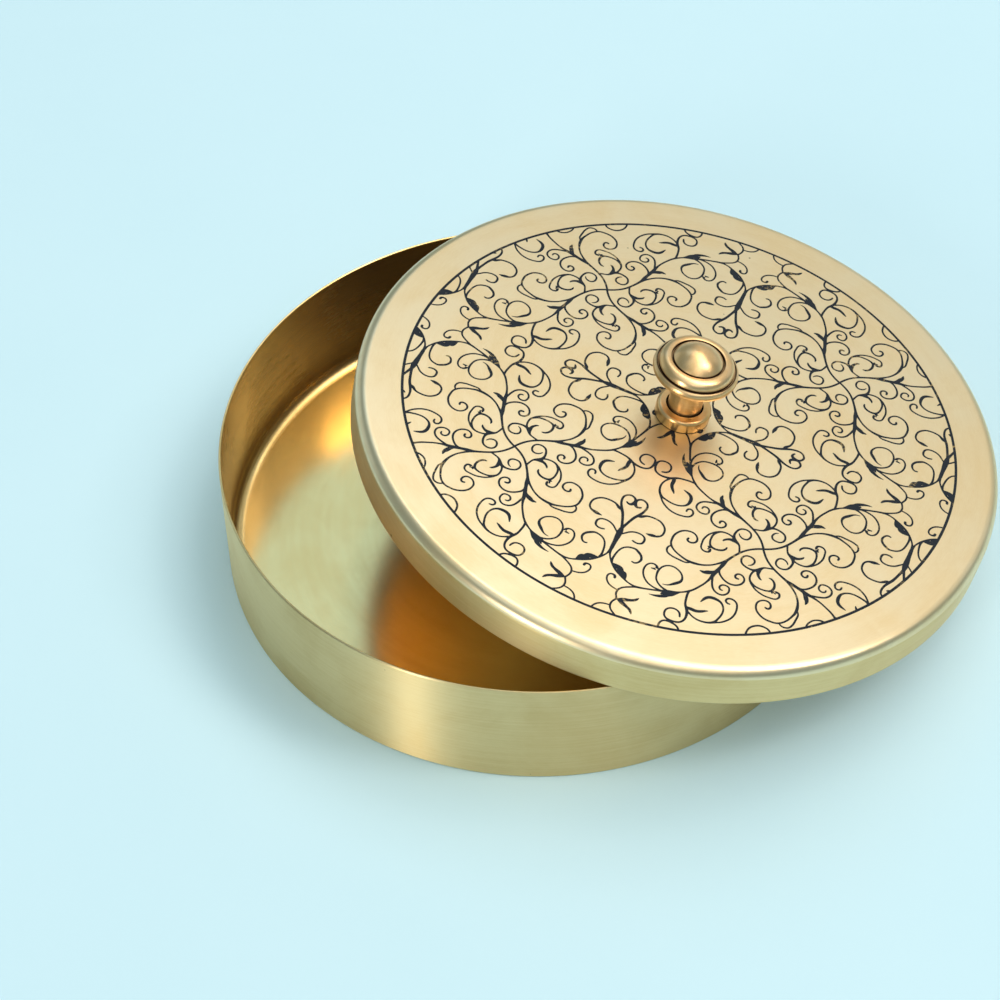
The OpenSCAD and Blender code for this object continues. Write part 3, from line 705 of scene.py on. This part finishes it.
# %% The slot in the screw
def saw(made, low, high):
    """Takes the level box between two corners out of a piece on the lid."""
    corners = np.array([[x, y, z] for x in (low[0], high[0]) for y in (low[1], high[1])
                        for z in (low[2], high[2])])
    sides = [(0, 1, 3, 2), (4, 6, 7, 5), (0, 4, 5, 1), (2, 3, 7, 6), (0, 2, 6, 4), (1, 5, 7, 3)]
    bar_mesh = bpy.data.meshes.new("bar")
    bar_mesh.from_pydata((askew(corners) * MM).tolist(), [], sides)
    bar = bpy.data.objects.new("bar", bar_mesh)
    bpy.context.scene.collection.objects.link(bar)
    cut = made.modifiers.new("slot", "BOOLEAN")
    cut.object = bar
    cut.solver = "EXACT"
    graph = bpy.context.evaluated_depsgraph_get()
    made.data = bpy.data.meshes.new_from_object(made.evaluated_get(graph))
    made.modifiers.clear()
    bpy.data.objects.remove(bar)


saw(screw, (-SCREW_HEAD_R - 1, -SLOT_W / 2, head_low - 1),
    (SCREW_HEAD_R + 1, SLOT_W / 2, head_low + SLOT_DEEP))
print(f"screw with its slot: {len(screw.data.polygons)} faces, "
      f"{open_edges(screw.data)} open edges, {signed_volume(screw.data) * 1e6:.3f} cm3")

# %% [markdown]
# ## Finishes
#
# All metal here is brass that was turned, brushed and then handled. Its looks come
# from few effects, which come back in every material at another strength: lines
# round the axis from the lathe, short strokes from the cloth, soft clouds of
# tarnish, black that stays in grooves, and painted shade in the gap round the
# knob's neck and where the collar meets the plate. Each effect is a node group of
# its own, so that it is built once. First the helpers that add nodes, groups and
# materials.

# %% Helpers for nodes
def plug(tree, made, inputs):
    """Fills inputs of a node: a socket is linked to it, anything else is set as a value."""
    for socket, value in inputs.items():
        if isinstance(value, bpy.types.NodeSocket):
            tree.links.new(value, made.inputs[socket])
        else:
            made.inputs[socket].default_value = value


def node(tree, kind, inputs=None, **settings):
    """Adds a node with its settings, and fills its inputs."""
    made = tree.nodes.new(kind)
    for name, value in settings.items():
        setattr(made, name, value)
    plug(tree, made, inputs or {})
    return made


def calc(tree, operation, *values, clamp=False):
    """One Math node, and what it puts out."""
    made = node(tree, "ShaderNodeMath", dict(enumerate(values)), operation=operation,
                use_clamp=clamp)
    return made.outputs[0]


def vectors(tree, operation, *values, output=0, **inputs):
    """One Vector Math node, and what it puts out."""
    made = node(tree, "ShaderNodeVectorMath", {**dict(enumerate(values)), **inputs},
                operation=operation)
    return made.outputs[output]


def blended(tree, share, here, there):
    """A colour between two others."""
    made = node(tree, "ShaderNodeMix", {0: share, 6: here, 7: there}, data_type="RGBA")
    return made.outputs[2]


def eased(tree, value, low, high, to_low=0.0, to_high=1.0):
    """Stretches a value from one range to another, softly, and holds it at the ends."""
    made = node(tree, "ShaderNodeMapRange", {0: value, 1: low, 2: high, 3: to_low, 4: to_high},
                interpolation_type="SMOOTHSTEP")
    return made.outputs[0]


# %% Groups and materials
def new_group(name, inputs, output):
    """An empty node group, with what it is given and the one value that it puts out."""
    made = bpy.data.node_groups.new(name, "ShaderNodeTree")
    for socket, value in inputs.items():
        kind = "NodeSocketVector" if value is None else "NodeSocketFloat"
        given = made.interface.new_socket(socket, in_out="INPUT", socket_type=kind)
        if value is not None:
            given.default_value = value
    made.interface.new_socket(output, in_out="OUTPUT", socket_type="NodeSocketFloat")
    return made, node(made, "NodeGroupInput").outputs, node(made, "NodeGroupOutput").inputs


def use(tree, group, place, **values):
    """Puts a group into a tree, and gives what it puts out."""
    return node(tree, "ShaderNodeGroup", {"Place": place, **values}, node_tree=group).outputs[0]


def new_material(name):
    """A new material, its tree, its shader, and the place of the point that is shaded."""
    made = bpy.data.materials.new(name)
    made.use_nodes = True
    tree = made.node_tree
    return (made, tree, tree.nodes["Principled BSDF"],
            node(tree, "ShaderNodeTexCoord").outputs["Object"])


def plane_and_height(tree, place):
    """A place split into its point in the plane, at height 0, and its height."""
    parts = node(tree, "ShaderNodeSeparateXYZ", {0: place}).outputs
    flat = node(tree, "ShaderNodeCombineXYZ", {0: parts["X"], 1: parts["Y"]}).outputs[0]
    return flat, parts["Z"]


def in_units(tree, place, unit):
    """A place measured in units of another length."""
    units = node(tree, "ShaderNodeCombineXYZ", {0: unit, 1: unit, 2: unit}).outputs[0]
    return vectors(tree, "DIVIDE", place, units)

# %% [markdown]
# The lines of the lathe run round the axis, so the pattern may change fast across
# them and only slowly along them. It is a noise whose first two coordinates walk on
# a circle, which closes without a seam, and whose third is radius plus height, which
# grows steadily up the wall and out over the floor. A small circle gives long lines,
# a large one gives short strokes.

# %% Turned lines
turned_lines, given, result = new_group(
    "turned lines", {"Place": None, "Spacing": 0.0004, "Circle": 3.0}, "Lines")
flat, height = plane_and_height(turned_lines, given["Place"])
from_axis = vectors(turned_lines, "LENGTH", flat, output="Value")
spoke = vectors(turned_lines, "NORMALIZE", flat)
on_circle = vectors(turned_lines, "SCALE", spoke, Scale=given["Circle"])
across = calc(turned_lines, "DIVIDE", calc(turned_lines, "ADD", from_axis, height),
              given["Spacing"])
lift = node(turned_lines, "ShaderNodeCombineXYZ", {2: across}).outputs[0]
streaks = node(turned_lines, "ShaderNodeTexNoise",
               {"Vector": vectors(turned_lines, "ADD", on_circle, lift), "Scale": 1.0,
                "Detail": 4.0, "Roughness": 0.65})
turned_lines.links.new(streaks.outputs["Fac"], result["Lines"])
print("group:", turned_lines.name)

# %% [markdown]
# Tarnish and handling leave soft clouds, a hand wide and a finger wide at once. A
# few tiny dots are pits and dust. A dark ring holds the black of the finishing in a
# groove, and paints shade into a gap between parts: its mask is the distance to a
# circle round the axis, given by its radius and height.

# %% Clouds, dots, and dark rings of groove black and painted shade
clouds, given, result = new_group("clouds", {"Place": None, "Width": 0.03}, "Cloud")
mist = node(clouds, "ShaderNodeTexNoise",
            {"Vector": in_units(clouds, given["Place"], given["Width"]), "Scale": 1.0,
             "Detail": 5.0, "Roughness": 0.55, "Distortion": 0.6})
clouds.links.new(eased(clouds, mist.outputs["Fac"], 0.3, 0.7), result["Cloud"])

dots, given, result = new_group("dots", {"Place": None, "Apart": 0.006, "Share": 0.06}, "Dot")
cells = node(dots, "ShaderNodeTexVoronoi",
             {"Vector": in_units(dots, given["Place"], given["Apart"]), "Scale": 1.0})
chance = node(dots, "ShaderNodeSeparateColor", {0: cells.outputs["Color"]}).outputs
size = calc(dots, "MULTIPLY", calc(dots, "LESS_THAN", chance[0], given["Share"]),
            eased(dots, chance[1], 0.0, 1.0, 0.02, 0.09))
edge = calc(dots, "SUBTRACT", size, cells.outputs["Distance"])
dots.links.new(eased(dots, edge, 0.0, 0.02), result["Dot"])

groove, given, result = new_group(
    "groove", {"Place": None, "Radius": 0.01, "Height": 0.0, "Black": 0.0003, "Clean": 0.0008},
    "Black")
flat, height = plane_and_height(groove, given["Place"])
beside = calc(groove, "SUBTRACT", vectors(groove, "LENGTH", flat, output="Value"),
              given["Radius"])
above = calc(groove, "SUBTRACT", height, given["Height"])
away = calc(groove, "SQRT", calc(groove, "ADD", calc(groove, "POWER", beside, 2.0),
                                 calc(groove, "POWER", above, 2.0)))
groove.links.new(eased(groove, away, given["Black"], given["Clean"], 1.0, 0.0), result["Black"])
print("groups:", [made.name for made in bpy.data.node_groups])

# %% [markdown]
# One function makes every metal. Lines and clouds move its colour between a clean
# and a tarnished tone and make it a little rougher or smoother, and the lines are
# also raised as a bump. Brushed metal throws a light into a long streak across its
# lines. That is what the shader's anisotropy does, when its tangent runs round the
# axis: the cross product of the axis and the place.

# %% Brushed metal
LID_SHIFT = [float(value) * MM for value in LID_PLACE]
LID_AXIS = [float(value) for value in lid_axis]
# Dark brown of pits, dust and groove black, and also of painted shade in gaps between parts
GRIME_AND_SHADE = (0.045, 0.022, 0.012, 1)
CLOTH_SPACING, CLOTH_CIRCLE = 0.12, 40    # the short strokes, the same on all metal
LINES_COUNT, CLOUDS_COUNT = 0.9, 0.24     # how much lines and clouds count in the tone
CLEAN_TO, TARNISHED_FROM = 0.35, 0.85     # tones at which the colour starts and ends turning
MIDDLE_TONE = 0.6                         # the tone at which the metal is as dull as given
BUMP_HIGH = 0.05                          # height of the lines at full strength
QUARTER_TURN = 0.25                       # the light streaks across the lines, not along


def turned_metal(name, on_lid, clean, tarnished, dull, uneven, spacing, circle, bump, stretch,
                 cloud_width=30, pits=0.06, grooves=()):
    """Brushed metal, with its pattern centred on the box or on the leaning lid. All
    widths are in millimetres."""
    made, tree, shader, place = new_material(name)
    if on_lid:
        around = vectors(tree, "CROSS_PRODUCT", LID_AXIS,
                         vectors(tree, "SUBTRACT", place, LID_SHIFT))
        place = node(tree, "ShaderNodeMapping",
                     {"Vector": place, "Location": LID_SHIFT, "Rotation": (0, LID_TILT, 0)},
                     vector_type="TEXTURE").outputs[0]
    else:
        around = vectors(tree, "CROSS_PRODUCT", (0.0, 0.0, 1.0), place)
    lines = use(tree, turned_lines, place, Spacing=spacing * MM, Circle=circle)
    strokes = use(tree, turned_lines, place, Spacing=CLOTH_SPACING * MM, Circle=CLOTH_CIRCLE)
    both = calc(tree, "MULTIPLY", calc(tree, "ADD", lines, strokes), 0.5)
    cloud = use(tree, clouds, place, Width=cloud_width * MM)
    tone = calc(tree, "ADD", calc(tree, "MULTIPLY", both, LINES_COUNT),
                calc(tree, "MULTIPLY", cloud, CLOUDS_COUNT))
    colour = blended(tree, eased(tree, tone, CLEAN_TO, TARNISHED_FROM), clean, tarnished)
    black = calc(tree, "MULTIPLY", use(tree, dots, place, Share=pits), 0.5)
    # Dark rings: black in the grooves, and painted shade in gaps between parts
    for radius, height, near, far in grooves:
        ring = use(tree, groove, place, Radius=radius * MM, Height=height * MM,
                   Black=near * MM, Clean=far * MM)
        black = calc(tree, "MAXIMUM", black, ring)
    spread = calc(tree, "MULTIPLY_ADD", calc(tree, "SUBTRACT", tone, MIDDLE_TONE), uneven, dull)
    rough = calc(tree, "ADD", spread, calc(tree, "MULTIPLY", black, 0.35), clamp=True)
    raised = node(tree, "ShaderNodeBump",
                  {"Height": both, "Strength": bump, "Distance": BUMP_HIGH * MM})
    plug(tree, shader, {
        "Base Color": blended(tree, black, colour, GRIME_AND_SHADE), "Roughness": rough,
        "Normal": raised.outputs[0], "Tangent": around, "Metallic": 1.0,
        "Anisotropic": stretch, "Anisotropic Rotation": QUARTER_TURN})
    return made


# %% The metals of box and lid
box_wall = turned_metal(
    "brushed wall", False, clean=(0.86, 0.66, 0.34, 1), tarnished=(0.76, 0.55, 0.25, 1),
    dull=0.40, uneven=0.14, spacing=0.7, circle=2.2, bump=0.45, stretch=0.94)
inner_wall = turned_metal(
    "streaked inside", False, clean=(0.86, 0.62, 0.27, 1), tarnished=(0.68, 0.44, 0.15, 1),
    dull=0.26, uneven=0.16, spacing=1.6, circle=1.4, bump=0.16, stretch=0.70)
box_floor = turned_metal(
    "satin floor", False, clean=(0.87, 0.65, 0.29, 1), tarnished=(0.78, 0.55, 0.22, 1),
    dull=0.21, uneven=0.12, spacing=4.0, circle=1.5, bump=0.06, stretch=0.0)
lid_face = turned_metal(
    "satin lid", True, clean=(0.91, 0.73, 0.46, 1), tarnished=(0.82, 0.61, 0.33, 1),
    dull=0.36, uneven=0.16, spacing=6.0, circle=2.0, bump=0.12, stretch=0.0)
lid_skirt = turned_metal(
    "brushed skirt", True, clean=(0.86, 0.66, 0.33, 1), tarnished=(0.74, 0.53, 0.23, 1),
    dull=0.38, uneven=0.12, spacing=0.9, circle=2.2, bump=0.22, stretch=0.80)
print("metals:", [made.name for made in bpy.data.materials])

# %% The metals of the knob and what holds it
lip_groove = ((LIP_GROOVE_IN + LIP_GROOVE_OUT) / 2, BEAD_Z - 0.1, 0.34, 0.66)
dome_groove = (DOME_R + GROOVE_W / 2, DOME_BASE - 0.30, 0.48, 0.78)
# Painted shade: the gap round the neck's foot is darkened for the black in it and for the shade
# that falls there
neck_groove = ((NECK_R + SEAT_R) / 2, SEAT_Z + 0.5, 0.6, 1.2)
# Painted shade: a thin dark ring where the collar stands on the plate
collar_foot_shade = (COLLAR_R, 0.0, 0.12, 0.4)
knob_finish = turned_metal(
    "turned knob", True, clean=(0.95, 0.63, 0.33, 1), tarnished=(0.86, 0.50, 0.20, 1),
    dull=0.33, uneven=0.12, spacing=0.9, circle=1.2, bump=0.12, stretch=0.35,
    cloud_width=8, pits=0.0, grooves=(lip_groove, dome_groove, neck_groove))
collar_finish = turned_metal(
    "turned collar", True, clean=(0.95, 0.60, 0.28, 1), tarnished=(0.85, 0.47, 0.16, 1),
    dull=0.31, uneven=0.12, spacing=0.9, circle=1.2, bump=0.12, stretch=0.35,
    cloud_width=8, pits=0.0, grooves=(neck_groove, collar_foot_shade))
washer_finish = turned_metal(
    "plain washer", True, clean=(0.80, 0.63, 0.34, 1), tarnished=(0.60, 0.44, 0.22, 1),
    dull=0.32, uneven=0.14, spacing=1.2, circle=1.5, bump=0.10, stretch=0.3)
screw_finish = turned_metal(
    "screw steel", True, clean=(0.62, 0.60, 0.56, 1), tarnished=(0.36, 0.33, 0.30, 1),
    dull=0.34, uneven=0.16, spacing=0.6, circle=1.2, bump=0.15, stretch=0.3, cloud_width=4)
print("metals:", [made.name for made in bpy.data.materials])

# %% [markdown]
# The black in the engraving is wax with soot: matt and blue-black. Here and there the
# cloth has rubbed some of it out again, and more so round the knob, where fingers
# take the lid. There brass shines through in crumbs.

# %% Black fill
SOOT_DARK, SOOT_PALE = (0.003, 0.007, 0.013, 1), (0.012, 0.016, 0.023, 1)
BARE = (0.34, 0.24, 0.11, 1)              # brass with a little soot left on it
FINGERS_FROM, FINGERS_TO = 12, 36         # distances from the axis of the knob

black_fill, tree, shader, place = new_material("black fill")
patches = use(tree, clouds, place, Width=12 * MM)
crumbs = node(tree, "ShaderNodeTexNoise",
              {"Vector": place, "Scale": 900.0, "Detail": 4.0}).outputs["Fac"]
from_lid = vectors(tree, "SUBTRACT", place, LID_SHIFT)
from_knob = vectors(tree, "LENGTH", vectors(tree, "CROSS_PRODUCT", from_lid, LID_AXIS),
                    output="Value")
rubbed = calc(tree, "ADD", patches, eased(tree, from_knob, FINGERS_FROM * MM,
                                          FINGERS_TO * MM, 0.45, 0.0))
worn = calc(tree, "MULTIPLY", eased(tree, rubbed, 0.72, 0.98),
            eased(tree, crumbs, 0.52, 0.60))
grain = node(tree, "ShaderNodeBump", {"Height": crumbs, "Strength": 0.3, "Distance": 0.04 * MM})
plug(tree, shader, {
    "Base Color": blended(tree, worn, blended(tree, crumbs, SOOT_DARK, SOOT_PALE), BARE),
    "Metallic": calc(tree, "MULTIPLY", worn, 0.8),
    "Roughness": eased(tree, crumbs, 0.3, 0.7, 0.42, 0.62),
    "Normal": grain.outputs[0], "Specular IOR Level": 0.25})
print("fill:", black_fill.name)

# %% [markdown]
# Each mesh gets its materials. The box has three and the lid two, so that the brushed
# outside, the streaked inside and the satin plate of one sheet can differ: the faces
# choose by where they lie.

# %% Dressing the pieces
def dress(made, *materials):
    """Replaces a piece's materials."""
    made.data.materials.clear()
    for material in materials:
        made.data.materials.append(material)


def face_middles(made):
    """Middle of every face, as an (n, 3) array in millimetres."""
    middles = np.empty(len(made.data.polygons) * 3)
    made.data.polygons.foreach_get("center", middles)
    return middles.reshape(-1, 3) / MM


WALL_FROM = 0.6                           # height over the floor where the wall's finish starts
SKIRT_FROM = 1.6                          # depth below the plate where the skirt's starts

dress(box, box_floor, box_wall, inner_wall)
x, y, z = face_middles(box).T
on_wall = (z > FLOOR_T + WALL_FROM) | (np.hypot(x, y) > BOX_R - WALL_T - COVE_R)
inside = on_wall & (np.hypot(x, y) < BOX_R - WALL_T / 2) & (z > FLOOR_T)
box.data.polygons.foreach_set("material_index", on_wall.astype(int) + inside)
dress(lid, lid_face, lid_skirt)
x, y, z = level(face_middles(lid)).T
on_skirt = (z < -PLATE_T - SKIRT_FROM) & (np.hypot(x, y) > LID_R - EDGE_R)
lid.data.polygons.foreach_set("material_index", on_skirt.astype(int))
for made, finish in ((knob, knob_finish), (collar, collar_finish), (fill, black_fill),
                     (washer, washer_finish), (screw, screw_finish)):
    dress(made, finish)
print(int(on_wall.sum()), "faces of the box on the wall,", int(on_skirt.sum()), "on the skirt")

# %% [markdown]
# The object stands on a sheet of pale blue paper, matt and a little uneven in tone.

# %% Floor
FLOOR_HALF = 4.0                          # metres from the middle to each edge
PAPER_DARK, PAPER_PALE = (0.625, 0.84, 0.90, 1), (0.655, 0.86, 0.92, 1)

floor_mesh = bpy.data.meshes.new("floor")
floor_mesh.from_pydata([(-FLOOR_HALF, -FLOOR_HALF, 0), (FLOOR_HALF, -FLOOR_HALF, 0),
                        (FLOOR_HALF, FLOOR_HALF, 0), (-FLOOR_HALF, FLOOR_HALF, 0)],
                       [], [(0, 1, 2, 3)])
floor = bpy.data.objects.new("floor", floor_mesh)
bpy.context.scene.collection.objects.link(floor)
paper, tree, shader, place = new_material("floor paper")
mottle = node(tree, "ShaderNodeTexNoise", {"Vector": place, "Scale": 14.0, "Detail": 6.0})
plug(tree, shader, {"Roughness": 0.8, "Base Color": blended(
    tree, mottle.outputs["Fac"], PAPER_DARK, PAPER_PALE)})
dress(floor, paper)
print(f"floor {2 * FLOOR_HALF} m wide")

# %% [markdown]
# ## Light
#
# The shadows and the gloss tell where the lamps stand. A broad soft box hangs high on
# the right and throws the short shadow to the left. A smaller one on the same side is
# the bright patch on the floor of the box, and two soft ones behind are what the lid
# and that floor mirror. A narrow strip in front on the left makes the bright streak
# on the brushed wall. The ceiling, the pale walls behind and on the left and a weak
# lamp in front give back some light, and the world is the dim rest of the room.

# %% Lamps
def toward(azimuth, elevation):
    """Unit vector at an azimuth from +X and an elevation, both in degrees."""
    a, e = math.radians(azimuth), math.radians(elevation)
    return Vector((math.cos(e) * math.cos(a), math.cos(e) * math.sin(a), math.sin(e)))


def soft_box(name, azimuth, elevation, distance, width, height, brightness, colour):
    """A lamp of even brightness that faces the box. A lamp sends out pi times its
    brightness from each square metre."""
    data = bpy.data.lights.new(name, "AREA")
    data.shape = "RECTANGLE"
    data.size, data.size_y = width, height
    data.energy = brightness * math.pi * width * height
    data.color = colour
    made = bpy.data.objects.new(name, data)
    direction = toward(azimuth, elevation)
    made.location = direction * distance
    made.rotation_euler = direction.to_track_quat("Z", "Y").to_euler()
    bpy.context.scene.collection.objects.link(made)


WARM, NEUTRAL = (1.0, 0.93, 0.86), (1.0, 0.98, 0.95)
COOL, SKY = (0.85, 0.96, 1.0), (0.50, 0.74, 1.0)
LAMPS = {       # azimuth, elevation, distance, width, height, brightness, colour
    "key": (4, 67, 3.5, 2.3, 1.55, 2.8, WARM),
    "window": (-12, 52, 3.5, 0.8, 1.5, 6.5, WARM),
    "back right": (64, 60, 3.5, 1.6, 1.4, 2.4, WARM),
    "back left": (97, 49, 3.5, 1.4, 1.2, 0.95, SKY),
    "front": (-75, 50, 3.5, 2.0, 1.3, 1.2, NEUTRAL),
    "strip": (-129, 18, 3.5, 0.4, 1.7, 17.0, WARM),
    "ceiling": (-60, 82, 3.8, 3.6, 3.2, 0.72, COOL),
    "backdrop": (50, 25, 3.8, 4.5, 2.2, 0.40, NEUTRAL),
    "left wall": (142, 15, 3.8, 3.0, 2.0, 0.40, COOL),
}
for name, setting in LAMPS.items():
    soft_box(name, *setting)
world = bpy.data.worlds.new("room")
bpy.context.scene.world = world
world.use_nodes = True
plug(world.node_tree, world.node_tree.nodes["Background"],
     {"Color": (0.46, 0.66, 0.74, 1), "Strength": 0.42})
print("lamps:", [lamp.name for lamp in bpy.data.lights])

# %% [markdown]
# The camera stands where the picture was taken from: nearly straight in front and
# half way up the sky, found from the circles of the rim, the base and the lid.

# %% Camera
EYE_AZIMUTH, EYE_ELEVATION = -1.987, 48.087
EYE_DISTANCE = 0.7794
AIM = Vector((-0.01109, 0.01215, 0))
FOCAL_PX, SENSOR_MM, FRAME_PX = 2350.3, 36, 1000

a, e = math.radians(EYE_AZIMUTH), math.radians(EYE_ELEVATION)
eye_back = Vector((math.sin(a) * math.cos(e), -math.cos(a) * math.cos(e), math.sin(e)))
camera_data = bpy.data.cameras.new("camera")
camera_data.sensor_width = SENSOR_MM
camera_data.lens = FOCAL_PX * SENSOR_MM / FRAME_PX
camera = bpy.data.objects.new("camera", camera_data)
camera.location = AIM + eye_back * EYE_DISTANCE
camera.rotation_euler = eye_back.to_track_quat("Z", "Y").to_euler()
bpy.context.scene.collection.objects.link(camera)
bpy.context.scene.camera = camera
bpy.context.scene.view_settings.view_transform = "Standard"
print(f"camera with a lens of {camera_data.lens:.1f} mm at {EYE_DISTANCE} m")

# %% [markdown]


print("scene built")
